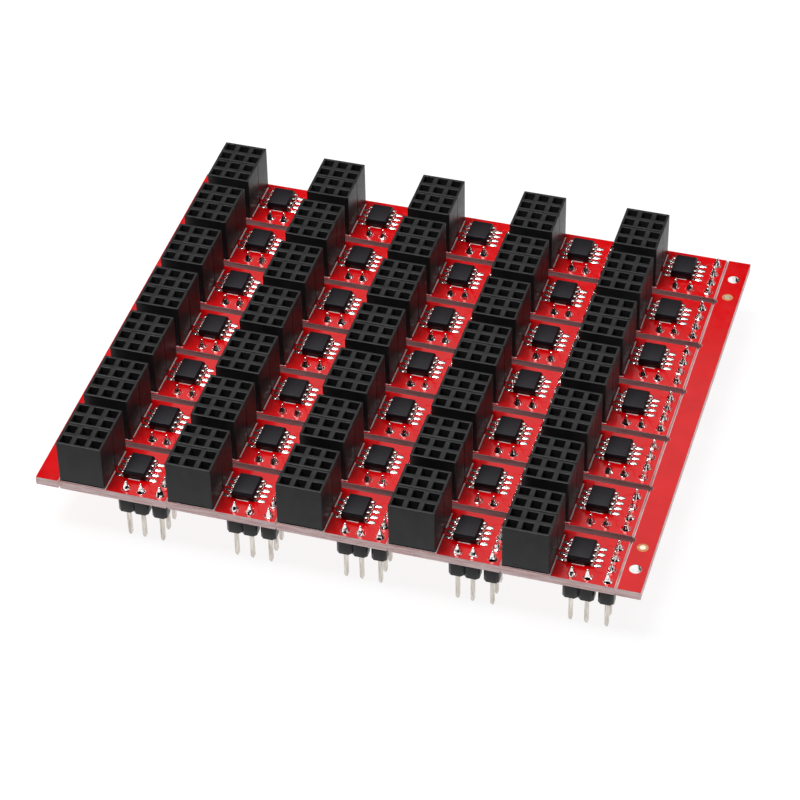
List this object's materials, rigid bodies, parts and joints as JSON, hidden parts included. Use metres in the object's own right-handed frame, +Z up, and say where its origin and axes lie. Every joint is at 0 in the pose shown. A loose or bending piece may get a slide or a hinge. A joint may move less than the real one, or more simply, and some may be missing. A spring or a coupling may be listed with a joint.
{
  "type": "servo driver board panel",
  "caption": "Red panel of identical small driver modules, each with black sockets and a chip on top and header pins underneath, parted by score lines and slots.",
  "frame": {"origin": "centre of the panel's outline in X and Y, level with the tips of the header pins", "axes": "+X right along the front edge, +Y to the back, +Z up out of the component side"},
  "size_m": [0.0998, 0.0844, 0.0181],
  "materials": {
    "laminate": "matte",
    "red_mask": "gloss",
    "white_print": "matte",
    "gilt_copper": "satin",
    "tinned_copper": "satin",
    "socket_plastic": "satin",
    "contact_metal": "satin",
    "solder": "polished",
    "moulding_compound": "matte",
    "silicon": "polished",
    "lead_tin": "satin",
    "header_plastic": "matte",
    "pin_tin": "satin"
  },
  "bodies": {
    "root": {"panel_board": "laminate", "solder_mask_top": "red_mask", "solder_mask_underside": "red_mask", "printed_legend": "white_print", "fiducial_dots": "gilt_copper", "plated_holes": "tinned_copper", "chip_pads": "tinned_copper", "socket_housings_column_1": "socket_plastic", "socket_housings_column_2": "socket_plastic", "socket_housings_column_3": "socket_plastic", "socket_housings_column_4": "socket_plastic", "socket_housings_column_5": "socket_plastic", "socket_contacts_column_1": "contact_metal", "socket_contacts_column_2": "contact_metal", "socket_contacts_column_3": "contact_metal", "socket_contacts_column_4": "contact_metal", "socket_contacts_column_5": "contact_metal", "socket_solder_column_1": "solder", "socket_solder_column_2": "solder", "socket_solder_column_3": "solder", "socket_solder_column_4": "solder", "socket_solder_column_5": "solder", "driver_chips_column_1": "moulding_compound", "driver_chips_column_2": "moulding_compound", "driver_chips_column_3": "moulding_compound", "driver_chips_column_4": "moulding_compound", "driver_chips_column_5": "moulding_compound", "chip_dies_column_1": "silicon", "chip_dies_column_2": "silicon", "chip_dies_column_3": "silicon", "chip_dies_column_4": "silicon", "chip_dies_column_5": "silicon", "chip_leads_column_1": "lead_tin", "chip_leads_column_2": "lead_tin", "chip_leads_column_3": "lead_tin", "chip_leads_column_4": "lead_tin", "chip_leads_column_5": "lead_tin", "header_insulators_column_1": "header_plastic", "header_insulators_column_2": "header_plastic", "header_insulators_column_3": "header_plastic", "header_insulators_column_4": "header_plastic", "header_insulators_column_5": "header_plastic", "header_pins_column_1": "pin_tin", "header_pins_column_2": "pin_tin", "header_pins_column_3": "pin_tin", "header_pins_column_4": "pin_tin", "header_pins_column_5": "pin_tin", "top_solder_column_1": "solder", "top_solder_column_2": "solder", "top_solder_column_3": "solder", "top_solder_column_4": "solder", "top_solder_column_5": "solder"}
  },
  "joints": []
}
